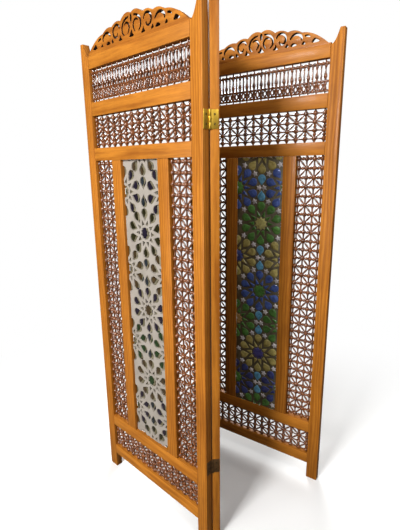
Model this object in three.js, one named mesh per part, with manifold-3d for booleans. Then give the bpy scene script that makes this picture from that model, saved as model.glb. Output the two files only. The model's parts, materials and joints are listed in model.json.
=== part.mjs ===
// Three-leaf folding mashrabiya screen, millimetres, +Z up.
// Each leaf is drawn in its own frame: x across the width from the middle, y through the thickness, z up.
import * as THREE from "three";
import { mergeGeometries, mergeVertices } from "three/addons/utils/BufferGeometryUtils.js";
import Module from "manifold-3d";

const wasm = await Module();
wasm.setup();

// Leaf
const WIDTH = 600;
const THICK = 28;
const STILE = 45;
const EAR_TOP = 1803;
const EAR_FLAT = 16;
const EAR_FOOT_X = 262;
const CREST_BASE = 1756;
const GAP = 0.3;
const IN = WIDTH / 2 - STILE;

// Rails, each from its lower to its upper edge
const RAILS = {
  rail_foot: [71, 116],
  rail_sill: [223, 271],
  rail_mid: [1386, 1433],
  rail_band: [1549, 1598],
  rail_top: [1713, CREST_BASE],
};
const MUNTIN_IN = 99;
const MUNTIN_OUT = 150;

// Fold of the leaves about +Z, and the hinge axis off the wooden corner
const TURN = { a: 45.1, b: 4.4, c: 54.5 };
const AXIS_OUT = 3;
const AXIS_SIDE = 0.8;

// Grilles: bar width, grille thickness, and how many openings are drawn across and up
const BAR = 7;
const GRILLE = 8;
const BAND_COLUMNS = 7;
const BAND_ROWS = 3;
const STRIP_COLUMNS = 3;
const STRIP_ROWS = 7;
const SLOTS = 14;
const SPINDLE_RAILS = [1608, 1639, 1697];

// Stained panel: tracery over glass
const ROSETTE_R = 88;
const ROSETTE_Z = [1130, 836, 542];
const TRACERY = 6;
const PANE = 4;
const TRACERY_AT = 2;

// Crest board
const CREST = 18;
const LOBES = [
  { at: 20, peak: 1845, half: 34, drop: 16 },
  { at: 74, peak: 1832, half: 32, drop: 12 },
  { at: 121, peak: 1824, half: 35, drop: 12 },
];
const TAIL = { from: 160, top: 1811, foot: 1762, power: 1.75 };
const CREST_MIDDLE = -6;

// Hinges
const HINGE_HEIGHT = 54;
const HINGE_Z = { low: 311, high: 1491 };
const PLATE_WIDTH = 25;
const PLATE = 1.8;
const BARREL_R = 2.9;

const COLOURS = {
  wood: 0xc9803a,
  dark: 0x7a4a34,
  plaster: 0xd8d4cc,
  glass: 0x2b3f86,
  brass: 0xd0a83a,
};
const SHINE = { glass: 0.15, brass: 0.35 };

function finish(kind) {
  return new THREE.MeshStandardMaterial({
    color: COLOURS[kind],
    roughness: SHINE[kind] ?? 0.6,
    metalness: kind === "brass" ? 1 : 0,
  });
}

function mesh(name, geometry, kind) {
  const made = new THREE.Mesh(geometry, finish(kind));
  made.name = name;
  return made;
}

function toSolid(geometry) {
  const bare = geometry.clone().deleteAttribute("normal").deleteAttribute("uv");
  const merged = mergeVertices(bare, 1e-4);
  return new wasm.Manifold(
    new wasm.Mesh({
      numProp: 3,
      vertProperties: new Float32Array(merged.attributes.position.array),
      triVerts: new Uint32Array(merged.index.array),
    }),
  );
}

function toGeometry(solid) {
  const data = solid.getMesh();
  return new THREE.BufferGeometry()
    .setAttribute("position", new THREE.BufferAttribute(data.vertProperties, 3))
    .setIndex(new THREE.BufferAttribute(data.triVerts, 1));
}

// A prism on an outline in (x, z), centred on `y`.
function prism(outline, depth, y = 0) {
  const shape = new THREE.Shape(outline.map(([x, z]) => new THREE.Vector2(x, z)));
  return new THREE.ExtrudeGeometry(shape, { depth, bevelEnabled: false, curveSegments: 1 })
    .rotateX(Math.PI / 2)
    .translate(0, depth / 2 + y, 0);
}

// A flat board with openings cut right through it.
function board(outline, holes, depth, y = 0) {
  if (!holes.length) return prism(outline, depth, y);
  const tools = holes.map((hole) => prism(hole, depth + 2, y));
  return toGeometry(toSolid(prism(outline, depth, y)).subtract(toSolid(mergeGeometries(tools))));
}

const box = (x0, x1, z0, z1) => [[x0, z0], [x1, z0], [x1, z1], [x0, z1]];

const ring = (x, z, rx, rz, sides, turn = 0) =>
  Array.from({ length: sides }, (_, i) => {
    const angle = turn + (i / sides) * Math.PI * 2;
    return [x + rx * Math.cos(angle), z + rz * Math.sin(angle)];
  });

const mirrored = (points) => points.map(([x, z]) => [-x, z]).reverse();

function stileOutline(side) {
  const ear = [];
  for (let i = 0; i <= 6; i++) {
    const t = i / 6;
    const x = THREE.MathUtils.lerp(WIDTH / 2 - EAR_FLAT, EAR_FOOT_X, t);
    const z = THREE.MathUtils.lerp(EAR_TOP, CREST_BASE, t) - 7 * Math.sin(Math.PI * t);
    ear.push([x, z]);
  }
  const points = [[IN + GAP, 0], [WIDTH / 2, 0], [WIDTH / 2, EAR_TOP], ...ear, [IN + GAP, CREST_BASE]];
  return side > 0 ? points : mirrored(points);
}

function crestTop(x) {
  const d = Math.abs(x - CREST_MIDDLE);
  const t = THREE.MathUtils.clamp((d - TAIL.from) / (IN - 3 - TAIL.from), 0, 1);
  const lobes = LOBES.map((lobe) => lobe.peak - lobe.drop * ((d - lobe.at) / lobe.half) ** 2);
  return Math.max(...lobes, d < TAIL.from - 6 ? 0 : TAIL.top - (TAIL.top - TAIL.foot) * t ** TAIL.power);
}

function crest(name) {
  const top = [];
  const last = IN - GAP;
  for (let i = 0; i <= 44; i++) {
    const x = last - (i / 44) * 2 * last;
    top.push([x, crestTop(x)]);
  }
  const outline = [[-last, CREST_BASE + GAP], [last, CREST_BASE + GAP], ...top];
  const holes = [ring(CREST_MIDDLE, 1777, 14, 11, 3, Math.PI / 2)];
  for (const side of [-1, 1]) {
    LOBES.forEach((lobe, i) => holes.push(ring(CREST_MIDDLE + side * (lobe.at + 8), 1803 - i * 5, 15 - i, 14 - i * 2, 6)));
    holes.push(ring(CREST_MIDDLE + side * 203, 1778, 14, 7, 4));
  }
  return mesh(name, board(outline, holes, CREST), "wood");
}

// A grille over an opening, its bars crossing at even steps.
function grille(name, x0, x1, z0, z1, columns, rows) {
  const across = (x1 - x0 - BAR) / columns;
  const up = (z1 - z0 - BAR) / rows;
  const holes = [];
  for (let i = 0; i < columns; i++)
    for (let j = 0; j < rows; j++)
      holes.push(
        box(x0 + BAR + i * across, x0 + (i + 1) * across, z0 + BAR + j * up, z0 + (j + 1) * up),
      );
  return mesh(name, board(box(x0 + GAP, x1 - GAP, z0 + GAP, z1 - GAP), holes, GRILLE), "dark");
}

// Turned spindles between two thin rails, with a low row under them.
function spindles(name) {
  const [, middle, high] = SPINDLE_RAILS;
  const z0 = RAILS.rail_band[1];
  const z1 = RAILS.rail_top[0];
  const step = (2 * IN - BAR) / SLOTS;
  const holes = [];
  for (let i = 0; i < SLOTS; i++) {
    const x = -IN + BAR + i * step;
    holes.push(box(x, x + step - BAR, middle + 3, high - 3));
    if (i % 2 > 0) continue;
    holes.push(box(x, x + 2 * step - BAR, z0 + 3, middle - 3));
    holes.push(box(x, x + 2 * step - BAR, high + 3, z1 - 3));
  }
  return mesh(name, board(box(-IN + GAP, IN - GAP, z0 + GAP, z1 - GAP), holes, GRILLE), "dark");
}

function tracery(name, z0, z1, y) {
  const holes = ROSETTE_Z.map((z) => ring(0, z, ROSETTE_R, ROSETTE_R, 10, Math.PI / 10));
  return mesh(name, board(box(-MUNTIN_IN + GAP, MUNTIN_IN - GAP, z0 + GAP, z1 - GAP), holes, TRACERY, y), "plaster");
}

const pane = (name, z0, z1, y) =>
  mesh(name, board(box(-MUNTIN_IN + GAP, MUNTIN_IN - GAP, z0 + GAP, z1 - GAP), [], PANE, y), "glass");

// One leaf; `glassFace` is +1 when the glass lies on its +y side.
function leaf(id, glassFace) {
  const made = new THREE.Group();
  for (const [side, word] of [[-1, "left"], [1, "right"]])
    made.add(mesh(`${id}_stile_${word}`, board(stileOutline(side), [], THICK), "wood"));
  for (const [name, [low, high]] of Object.entries(RAILS))
    made.add(mesh(`${id}_${name}`, board(box(-IN, IN, low, high), [], THICK), "wood"));
  const [low, high] = [RAILS.rail_sill[1], RAILS.rail_mid[0]];
  for (const [side, word] of [[-1, "left"], [1, "right"]]) {
    const [x0, x1] = side < 0 ? [-MUNTIN_OUT, -MUNTIN_IN] : [MUNTIN_IN, MUNTIN_OUT];
    made.add(mesh(`${id}_muntin_${word}`, board(box(x0, x1, low + GAP, high - GAP), [], THICK - 2), "wood"));
    const [s0, s1] = side < 0 ? [-IN, -MUNTIN_OUT] : [MUNTIN_OUT, IN];
    made.add(grille(`${id}_strip_${word}`, s0, s1, low, high, STRIP_COLUMNS, STRIP_ROWS));
  }
  made.add(grille(`${id}_band`, -IN, IN, RAILS.rail_mid[1], RAILS.rail_band[0], BAND_COLUMNS, BAND_ROWS));
  made.add(grille(`${id}_base_band`, -IN, IN, RAILS.rail_foot[1], RAILS.rail_sill[0], BAND_COLUMNS, BAND_ROWS));
  made.add(spindles(`${id}_spindles`));
  made.add(crest(`${id}_crest`));
  made.add(tracery(`${id}_tracery`, low, high, glassFace * TRACERY_AT));
  made.add(pane(`${id}_pane`, low, high, glassFace * (TRACERY_AT + TRACERY / 2 + GAP + PANE / 2)));
  return made;
}

// One half of a butt hinge on the end face of a leaf; `end` is the x side and `side` the y side of the hinge corner.
function hingeHalf(name, z, end, side, inner) {
  const knuckle = HINGE_HEIGHT / 3;
  const axis = [end * (WIDTH / 2 + AXIS_OUT), side * (THICK / 2 + AXIS_SIDE)];
  const plateX = end * (WIDTH / 2 + GAP + PLATE / 2);
  const slab = (y0, y1, middleZ, height) =>
    new THREE.BoxGeometry(PLATE, Math.abs(y1 - y0), height).translate(plateX, (y0 + y1) / 2, middleZ);
  const edge = side * (THICK / 2 - 2.6);
  let made = toSolid(slab(edge, edge - side * (PLATE_WIDTH - 2.6), z, HINGE_HEIGHT));
  for (const i of inner ? [1] : [0, 2]) {
    const at = z + (i - 1) * knuckle;
    const tab = slab(edge - side, axis[1], at, knuckle - GAP);
    const barrel = new THREE.CylinderGeometry(BARREL_R, BARREL_R, knuckle - GAP, 8)
      .rotateX(Math.PI / 2)
      .translate(axis[0], axis[1], at);
    made = made.add(toSolid(tab)).add(toSolid(barrel));
  }
  return mesh(name, toGeometry(made), "brass");
}

// Leaf places: a and b share the near hinge, b and c the far one.
const hingeCorner = (end, side) => new THREE.Vector3(end * (WIDTH / 2 + AXIS_OUT), side * (THICK / 2 + AXIS_SIDE), 0);

function place(group, turn, corner, at) {
  group.rotation.z = THREE.MathUtils.degToRad(turn - 90);
  const moved = corner.clone().applyEuler(group.rotation);
  group.position.copy(at).sub(moved);
}

const near = new THREE.Vector3(0, 0, 0);
const leaves = { a: leaf("a", 1), b: leaf("b", 1), c: leaf("c", -1) };
for (const [word, z] of Object.entries(HINGE_Z)) {
  leaves.a.add(hingeHalf(`a_hinge_${word}`, z, 1, 1, true));
  leaves.b.add(hingeHalf(`b_near_hinge_${word}`, z, 1, -1, false));
  leaves.b.add(hingeHalf(`b_far_hinge_${word}`, z, -1, 1, false));
  leaves.c.add(hingeHalf(`c_hinge_${word}`, z, -1, -1, true));
}
place(leaves.a, TURN.a, hingeCorner(1, 1), near);
place(leaves.b, TURN.b, hingeCorner(1, -1), near);
const far = hingeCorner(-1, 1).applyEuler(leaves.b.rotation).add(leaves.b.position);
place(leaves.c, TURN.c, hingeCorner(-1, -1), far);

const screen = new THREE.Group();
screen.name = "folding_screen";
screen.add(leaves.a, leaves.b, leaves.c);
screen.updateMatrixWorld(true);
const middle = new THREE.Box3().setFromObject(screen, true).getCenter(new THREE.Vector3());
screen.position.set(-middle.x, -middle.y, 0);

export default screen;
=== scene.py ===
import json
import math
from functools import partial

import bmesh
import bpy
from mathutils import Matrix


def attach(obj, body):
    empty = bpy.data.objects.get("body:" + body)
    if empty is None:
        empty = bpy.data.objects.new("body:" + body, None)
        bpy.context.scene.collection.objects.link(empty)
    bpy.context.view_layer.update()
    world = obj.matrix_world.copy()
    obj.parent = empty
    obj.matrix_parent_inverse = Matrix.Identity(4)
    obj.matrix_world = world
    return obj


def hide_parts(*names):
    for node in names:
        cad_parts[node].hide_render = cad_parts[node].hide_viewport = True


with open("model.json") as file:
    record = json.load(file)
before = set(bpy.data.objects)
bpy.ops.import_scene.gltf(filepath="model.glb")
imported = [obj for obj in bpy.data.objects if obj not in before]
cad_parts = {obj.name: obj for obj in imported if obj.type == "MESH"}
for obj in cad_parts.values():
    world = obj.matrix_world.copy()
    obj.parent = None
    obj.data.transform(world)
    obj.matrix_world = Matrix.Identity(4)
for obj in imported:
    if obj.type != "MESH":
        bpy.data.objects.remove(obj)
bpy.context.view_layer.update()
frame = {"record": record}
print("frame loaded")

# Metres throughout. A leaf is drawn flat, x across it, y through it and z up, then placed by leafPlaces.
leafSizes = {
    "width": 0.6,
    "thickness": 0.028,
    "stile": 0.045,
    "earTop": 1.803,
    "earFlat": 0.016,
    "earFoot": 0.262,
    "crestBase": 1.756,
    "muntinIn": 0.099,
    "muntinOut": 0.15,
    "earSag": 0.007,
    "muntinSunk": 0.002,
    "gap": 0.0003,
    "edgeRound": 0.0013,
}
railHeights = {
    "rail_foot": (0.071, 0.116),
    "rail_sill": (0.223, 0.271),
    "rail_mid": (1.386, 1.433),
    "rail_band": (1.549, 1.598),
    "rail_top": (1.713, 1.756),
}
leafTurns = {"a": 45.1, "b": 4.4, "c": 54.5}
hingeAxis = {"out": 0.003, "side": 0.0008}
# The face of each leaf, along its own y, that its glass looks out of
glassSides = {"a": 1, "b": 1, "c": -1}

halfLeaf, halfThick = leafSizes["width"] / 2, leafSizes["thickness"] / 2
inner = halfLeaf - leafSizes["stile"]
panelLow = railHeights["rail_sill"][1]
panelHigh = railHeights["rail_mid"][0]
quarterTurn = math.radians(90)


def placeLeaves():
    joints = {j["name"]: j["pos_m"] for j in frame["record"]["behaviour"]["joints"]}
    near = Matrix.Translation([*joints["leaf_a_fold"][:2], 0])
    far = Matrix.Translation([*joints["leaf_c_fold"][:2], 0])
    outX, outY = halfLeaf + hingeAxis["out"], halfThick + hingeAxis["side"]
    corners = {"a": (near, outX, outY), "b": (near, outX, -outY), "c": (far, -outX, -outY)}
    places = {}
    for leaf, (joint, x, y) in corners.items():
        turn = Matrix.Rotation(math.radians(leafTurns[leaf] - 90), 4, "Z")
        places[leaf] = joint @ turn @ Matrix.Translation((-x, -y, 0))
    return places


leafPlaces = placeLeaves()


# Node building


def addNode(tree, kind, values=None, **settings):
    node = tree.nodes.new(kind)
    for key, value in settings.items():
        setattr(node, key, value)
    for key, value in (values or {}).items():
        if isinstance(value, bpy.types.NodeSocket):
            tree.links.new(value, node.inputs[key])
        else:
            node.inputs[key].default_value = value
    return node


def newGroup(name, kind, inputs, outputs):
    # Each socket is its label and kind, with a starting value where it needs one.
    tree = bpy.data.node_groups.new(name, kind)
    for inOut, sockets in (("INPUT", inputs), ("OUTPUT", outputs)):
        for label, socketKind, *start in sockets:
            made = tree.interface.new_socket(label, in_out=inOut, socket_type="NodeSocket" + socketKind)
            if start:
                made.default_value = start[0]
    return tree, addNode(tree, "NodeGroupInput").outputs, addNode(tree, "NodeGroupOutput").inputs


def floats(*words):
    return [(word, "Float") for word in words]


def mathNode(tree, operation, *values):
    return addNode(tree, "ShaderNodeMath", dict(enumerate(values)), operation=operation).outputs[0]


def vectorNode(tree, x=0.0, y=0.0, z=0.0):
    return addNode(tree, "ShaderNodeCombineXYZ", {"X": x, "Y": y, "Z": z}).outputs[0]


def noiseNode(tree, spot, scale, detail=3, **more):
    values = {"Vector": spot, "Scale": scale, "Detail": detail, **more}
    return addNode(tree, "ShaderNodeTexNoise", values).outputs["Fac"]


def mixColours(tree, factor, first, second, blend="MIX"):
    # Sockets 6 and 7 of a Mix node are its two colours.
    values = {"Factor": factor, 6: first, 7: second}
    return addNode(tree, "ShaderNodeMix", values, data_type="RGBA", blend_type=blend).outputs[2]


def rampNode(tree, factor, low, high):
    # A grey ramp between two stops, each a place and a brightness.
    node = addNode(tree, "ShaderNodeValToRGB", {"Fac": factor})
    for element, (place, grey) in zip(node.color_ramp.elements, (low, high)):
        element.position = place
        element.color = (grey, grey, grey, 1)
    return node.outputs["Color"]


# Finishes

# Stretch of the grain's figure and of its fibres, along and across the wood
grainLook = {"figure": (1.6, 17, 17), "fibre": (9, 420, 420), "bump": (0.25, 0.0006), "age": (0.35, 4.0)}


def grainGroup():
    # Grain runs along X of the vector it is given.
    tree, given, out = newGroup(
        "woodGrain",
        "ShaderNodeTree",
        [("Vector", "Vector"), ("Pale", "Color"), ("Deep", "Color"), *floats("Figure", "Polish")],
        [("Color", "Color"), *floats("Roughness", "Height")],
    )
    calc = partial(mathNode, tree)
    broad, fine = (
        addNode(tree, "ShaderNodeMapping", {"Vector": given["Vector"], "Scale": grainLook[word]}).outputs[0]
        for word in ("figure", "fibre")
    )
    drift = noiseNode(tree, broad, 2.2, 5, Distortion=0.7)
    ringValues = {"Vector": broad, "Scale": 2.6, "Distortion": 7, "Detail": 3, "Detail Scale": 0.9}
    rings = addNode(tree, "ShaderNodeTexWave", ringValues, bands_direction="Y").outputs["Fac"]
    fibre = noiseNode(tree, fine, 1.5, 4, Roughness=0.65)
    figure = calc("MULTIPLY_ADD", rings, 0.45, calc("MULTIPLY", drift, 0.62))
    figure = calc("MULTIPLY_ADD", calc("SUBTRACT", figure, 0.5), given["Figure"], 0.5)
    body = mixColours(tree, figure, given["Deep"], given["Pale"])
    pores = rampNode(tree, fibre, (0.32, 0.5), (0.52, 1))
    tree.links.new(mixColours(tree, 0.55, body, pores, "MULTIPLY"), out["Color"])
    rough = calc("MULTIPLY_ADD", calc("SUBTRACT", 1.0, fibre), 0.22, given["Polish"])
    tree.links.new(rough, out["Roughness"])
    tree.links.new(calc("MULTIPLY_ADD", figure, 0.3, fibre), out["Height"])
    return tree


def handlingGroup():
    # Age on any finish: broad darker clouds.
    tree, given, out = newGroup(
        "handling",
        "ShaderNodeTree",
        [("Vector", "Vector"), ("Color", "Color"), ("Soil", "Color"), *floats("Amount", "Size")],
        [("Color", "Color"), ("Mask", "Float")],
    )
    cloud = noiseNode(tree, given["Vector"], given["Size"], 6, Roughness=0.6)
    mask = mathNode(tree, "MULTIPLY", rampNode(tree, cloud, (0.42, 0), (0.72, 1)), given["Amount"])
    tree.links.new(mixColours(tree, mask, given["Color"], given["Soil"]), out["Color"])
    tree.links.new(mask, out["Mask"])
    return tree


woodGrain = grainGroup()
handling = handlingGroup()


def newMaterial(name):
    made = bpy.data.materials.new(name)
    made.use_nodes = True
    tree = made.node_tree
    spot = addNode(tree, "ShaderNodeTexCoord").outputs["Object"]
    return made, tree, tree.nodes["Principled BSDF"].inputs, spot


def agedColour(tree, spot, colour, soil, amount, size):
    values = {"Vector": spot, "Color": colour, "Soil": soil, "Amount": amount, "Size": size}
    return addNode(tree, "ShaderNodeGroup", values, node_tree=handling).outputs


def setBump(tree, shader, height, strength, distance):
    node = addNode(tree, "ShaderNodeBump", {"Height": height, "Strength": strength, "Distance": distance})
    tree.links.new(node.outputs["Normal"], shader["Normal"])


woodTones = {
    "frame": {
        "pale": (0.54, 0.2, 0.022, 1),
        "deep": (0.27, 0.078, 0.007, 1),
        "soil": (0.1, 0.024, 0.003, 1),
        "figure": 1.2,
        "polish": 0.36,
        "coat": 0.03,
        "specular": 0.16,
    },
    "turned": {
        "pale": (0.27, 0.085, 0.022, 1),
        "deep": (0.05, 0.014, 0.004, 1),
        "soil": (0.015, 0.005, 0.002, 1),
        "figure": 1.6,
        "polish": 0.08,
        "coat": 0.7,
        "specular": 0.5,
    },
}


def woodMaterial(name, tone, rotation):
    made, tree, shader, spot = newMaterial(name)
    tones = woodTones[tone]
    along = addNode(tree, "ShaderNodeMapping", {"Vector": spot, "Rotation": rotation}).outputs[0]
    values = {word.capitalize(): tones[word] for word in ("pale", "deep", "figure", "polish")}
    grain = addNode(tree, "ShaderNodeGroup", {"Vector": along, **values}, node_tree=woodGrain).outputs
    aged = agedColour(tree, spot, grain["Color"], tones["soil"], *grainLook["age"])
    tree.links.new(aged["Color"], shader["Base Color"])
    tree.links.new(grain["Roughness"], shader["Roughness"])
    setBump(tree, shader, grain["Height"], *grainLook["bump"])
    shader["Coat Weight"].default_value = tones["coat"]
    shader["Coat Roughness"].default_value = 0.12
    shader["Specular IOR Level"].default_value = tones["specular"]
    return made


# "age" is how much soil lies on the finish and how fine its clouds are, "bump" the grit's strength and depth
mattLooks = {
    "castPlaster": {
        "colour": (0.31, 0.275, 0.235, 1),
        "soil": (0.16, 0.135, 0.105, 1),
        "age": (0.45, 14.0),
        "grit": 900,
        "bump": (0.35, 0.0004),
        "roughness": 0.7,
    },
    "darkBed": {
        "colour": (0.1, 0.085, 0.045, 1),
        "soil": (0.22, 0.19, 0.12, 1),
        "age": (0.8, 30.0),
        "grit": 500,
        "bump": (0.5, 0.0006),
        "roughness": 0.5,
    },
    # Walls of the pierced scrolls, painted near black as painted shade inside the piercings
    "sawnWalls": {
        "colour": (0.06, 0.02, 0.005, 1),
        "soil": (0.015, 0.006, 0.002, 1),
        "age": (0.8, 40.0),
        "grit": 420,
        "bump": (0.4, 0.0005),
        "roughness": 0.7,
    },
}


def mattMaterial(name):
    made, tree, shader, spot = newMaterial(name)
    look = mattLooks[name]
    aged = agedColour(tree, spot, look["colour"], look["soil"], *look["age"])
    tree.links.new(aged["Color"], shader["Base Color"])
    setBump(tree, shader, noiseNode(tree, spot, look["grit"]), *look["bump"])
    shader["Roughness"].default_value = look["roughness"]
    return made


glassLook = {
    "roughness": 0.12,
    "coat": (0.25, 0.05),
    "ripple": 42,
    "seed": 260,
    "bump": (0.4, 0.0015),
    # How much darker the pieces seen through the casting are made, as painted shade
    "backPaintedShade": 0.12,
    "rimShade": 0.28,
}


def glassMaterial():
    # Each stone carries its colour in the attribute tint.
    made, tree, shader, spot = newMaterial("colouredGlass")
    tint = addNode(tree, "ShaderNodeAttribute", attribute_name="tint").outputs["Color"]
    flow = noiseNode(tree, spot, glassLook["ripple"], Distortion=1.2)
    streak = rampNode(tree, flow, (0.3, 0.55), (0.7, 1.25))
    seeds = addNode(tree, "ShaderNodeTexVoronoi", {"Vector": spot, "Scale": glassLook["seed"]})
    bubble = rampNode(tree, seeds.outputs["Distance"], (0.05, 1), (0.14, 0))
    tree.links.new(mixColours(tree, 1.0, tint, streak, "MULTIPLY"), shader["Base Color"])
    setBump(tree, shader, mathNode(tree, "MULTIPLY_ADD", bubble, 0.3, flow), *glassLook["bump"])
    shader["Roughness"].default_value = glassLook["roughness"]
    shader["Coat Weight"].default_value, shader["Coat Roughness"].default_value = glassLook["coat"]
    return made


# Colour, soil over it, how much of that, and roughness
brassTones = {
    "hingeBrass": ((0.66, 0.42, 0.05, 1), (0.28, 0.15, 0.02, 1), 0.5, 0.42),
    # The low hinges get a darker brass than the high ones
    "hingeTarnished": ((0.2, 0.11, 0.045, 1), (0.05, 0.03, 0.02, 1), 0.7, 0.45),
    "hingeScrew": ((0.09, 0.055, 0.025, 1), (0.04, 0.03, 0.02, 1), 0.5, 0.42),
}
brassLook = {"clouds": 55.0, "scratches": 350, "bump": (0.15, 0.0003), "metallic": 0.9}


def brassMaterial(name):
    made, tree, shader, spot = newMaterial(name)
    colour, soil, age, roughness = brassTones[name]
    aged = agedColour(tree, spot, colour, soil, age, brassLook["clouds"])
    tree.links.new(aged["Color"], shader["Base Color"])
    rough = mathNode(tree, "MULTIPLY_ADD", aged["Mask"], 0.35, roughness)
    tree.links.new(rough, shader["Roughness"])
    setBump(tree, shader, noiseNode(tree, spot, brassLook["scratches"], 4), *brassLook["bump"])
    shader["Metallic"].default_value = brassLook["metallic"]
    return made


uprightTurn = (0, quarterTurn, 0)
materials = {
    # Painted shade for the walls inside the crest's piercings
    "sawn": mattMaterial("sawnWalls"),
    "upright": woodMaterial("frameWoodUpright", "frame", uprightTurn),
    "turned": woodMaterial("turnedWood", "turned", uprightTurn),
    "plaster": mattMaterial("castPlaster"),
    "glass": glassMaterial(),
    "bed": mattMaterial("darkBed"),
    "brass": brassMaterial("hingeBrass"),
    "darkerBrass": brassMaterial("hingeTarnished"),
    "screw": brassMaterial("hingeScrew"),
}
for leafName, leafTurn in leafTurns.items():
    acrossTurn = (0, 0, -math.radians(leafTurn - 90))
    materials["across" + leafName] = woodMaterial("frameWoodAcross" + leafName.upper(), "frame", acrossTurn)
print("finishes made")


# Mesh making


def showObject(name, mesh):
    made = bpy.data.objects.new(name, mesh)
    bpy.context.scene.collection.objects.link(made)
    return made


def meshFrom(work, name):
    mesh = bpy.data.meshes.new(name)
    work.to_mesh(mesh)
    work.free()
    return mesh


def smooth(mesh, sharpAngle):
    mesh.shade_smooth()
    mesh.set_sharp_from_angle(angle=math.radians(sharpAngle))


def settle(obj):
    # The evaluated shape becomes a plain mesh, with no modifier left on it.
    graph = bpy.context.evaluated_depsgraph_get()
    shape = obj.evaluated_get(graph)
    mesh = bpy.data.meshes.new_from_object(shape, preserve_all_data_layers=True, depsgraph=graph)
    bpy.data.objects.remove(obj)
    return mesh


def bevelled(mesh, width, angle=40):
    holder = showObject("bevelled", mesh)
    bevel = holder.modifiers.new("edge", "BEVEL")
    bevel.width, bevel.segments = width, 2
    bevel.limit_method, bevel.angle_limit = "ANGLE", math.radians(angle)
    rounded = settle(holder)
    smooth(rounded, 40)
    return rounded


def boardMesh(outline, thickness, roundness):
    # A board on an outline in x and z, centred through its thickness.
    work = bmesh.new()
    face = work.faces.new([work.verts.new((x, -thickness / 2, z)) for x, z in outline])
    grown = bmesh.ops.extrude_face_region(work, geom=[face])
    moved = [item for item in grown["geom"] if isinstance(item, bmesh.types.BMVert)]
    bmesh.ops.translate(work, vec=(0, thickness, 0), verts=moved)
    bmesh.ops.recalc_face_normals(work, faces=work.faces)
    return bevelled(meshFrom(work, "board"), roundness)


def rectangle(x0, x1, z0, z1):
    return [(x0, z0), (x1, z0), (x1, z1), (x0, z1)]


def stileOutline(side):
    foot, top = leafSizes["earFoot"], leafSizes["earTop"]
    base, flat = leafSizes["crestBase"], leafSizes["earFlat"]
    edge = inner + leafSizes["gap"]
    points = [(edge, 0), (halfLeaf, 0), (halfLeaf, top)]
    steps = 14
    for i in range(steps + 1):
        t = i / steps
        x = (halfLeaf - flat) * (1 - t) + foot * t
        points.append((x, top * (1 - t) + base * t - leafSizes["earSag"] * math.sin(math.pi * t)))
    points.append((edge, base))
    return points if side > 0 else [(-x, z) for x, z in reversed(points)]


def placed(mesh, leaf):
    copy = mesh.copy()
    copy.transform(leafPlaces[leaf])
    return copy


def finishPiece(name, mesh, leaf, material, replaced=()):
    mesh.materials.clear()
    mesh.materials.append(material)
    piece = showObject(name, mesh)
    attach(piece, "leaf_" + leaf)
    if replaced:
        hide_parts(*replaced)
    return piece


def makeFrames():
    gap, thickness, roundness = leafSizes["gap"], leafSizes["thickness"], leafSizes["edgeRound"]
    muntinThick = thickness - leafSizes["muntinSunk"]
    boards = {}
    for side, word in ((-1, "left"), (1, "right")):
        boards["stile_" + word] = (boardMesh(stileOutline(side), thickness, roundness), "upright")
        x0, x1 = sorted((side * leafSizes["muntinIn"], side * leafSizes["muntinOut"]))
        muntin = boardMesh(rectangle(x0, x1, panelLow + gap, panelHigh - gap), muntinThick, roundness)
        boards["muntin_" + word] = (muntin, "upright")
    for rail, (low, high) in railHeights.items():
        boards[rail] = (boardMesh(rectangle(-inner, inner, low, high), thickness, roundness), "across")
    for leaf in leafTurns:
        for part, (mesh, run) in boards.items():
            material = materials[run + leaf] if run == "across" else materials[run]
            node = f"{leaf}_{part}"
            finishPiece(f"{node}_wood", placed(mesh, leaf), leaf, material, [node])


makeFrames()
print("frames made")


# Crest: a sawn outline of lobes and a tail, pierced with scrolls

crestSizes = {
    "thickness": 0.018,
    "edge": 0.0014,
    "margin": 0.003,
    "endFlat": 0.003,
    "overlap": 0.006,
    "middle": -0.006,
    "foot": 1.762,
    "lobes": [(0.02, 1.845, 0.034, 0.016), (0.074, 1.832, 0.032, 0.012), (0.121, 1.824, 0.035, 0.012)],
    "tail": (0.16, 1.811, 1.75),
    # scrolls: widest opening, then the points each follows, in millimetres off the middle and over "foot"
    "scrolls": [
        (7.6, [(12.5, 67.5), (23.5, 66.5), (37, 59.5), (45.5, 48), (47.5, 35), (44, 25), (36, 17.5)]),
        (6.6, [(34.5, 49), (27, 53.5), (18, 52), (11.5, 43.5), (10.5, 34), (14.5, 25.5), (18.5, 19)]),
        (
            7.8,
            [(61.5, 44.5), (66, 54.5), (76.5, 59.5), (88.5, 55.5), (96.5, 44)]
            + [(95.5, 31), (87, 23), (76.5, 25), (72.5, 34.5)],
        ),
        (8.6, [(113.5, 32.5), (120, 41), (131, 47), (143, 45.5), (153, 38.5), (157, 30.5), (155.5, 24)]),
        (6.6, [(167.5, 36.5), (177, 35), (187, 30.5)]),
    ],
    # pierced shapes by their corners, in the same way
    "darts": [
        [(43.5, 7.5), (71.5, 7.5), (62.5, 14), (60, 29), (55, 14.5)],
        [(92.5, 8.5), (108.5, 8.5), (106.5, 17.5), (102.5, 23), (99, 15.5)],
        [(113.5, 8.5), (137.5, 8.5), (138.5, 13), (129, 19.5), (120.5, 18.5), (116.5, 13.5)],
        [(154.5, 8.5), (171.5, 8.5), (168.5, 14.5), (164.5, 21.5), (160.5, 15)],
        [(189.5, 8.5), (222.5, 9), (216.5, 16), (209.5, 20.5), (202.5, 24.5), (196.5, 18)],
    ],
    "centre": [
        [(-16.5, 7.5), (16.5, 7.5), (6, 15), (0.5, 30), (-0.5, 30), (-6, 15)],
        [(-4.2, 50.5), (4.2, 50.5), (5, 70), (0, 74.5), (-5, 70)],
    ],
}


def crestTop(x):
    d = abs(x - crestSizes["middle"])
    start, top, power = crestSizes["tail"]
    heights = [peak - drop * ((d - at) / half) ** 2 for at, peak, half, drop in crestSizes["lobes"]]
    t = min(1, max(0, (d - start) / (inner - crestSizes["endFlat"] - start)))
    if d >= start - crestSizes["overlap"]:
        heights.append(top - (top - crestSizes["foot"]) * t**power)
    return max(heights)


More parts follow.
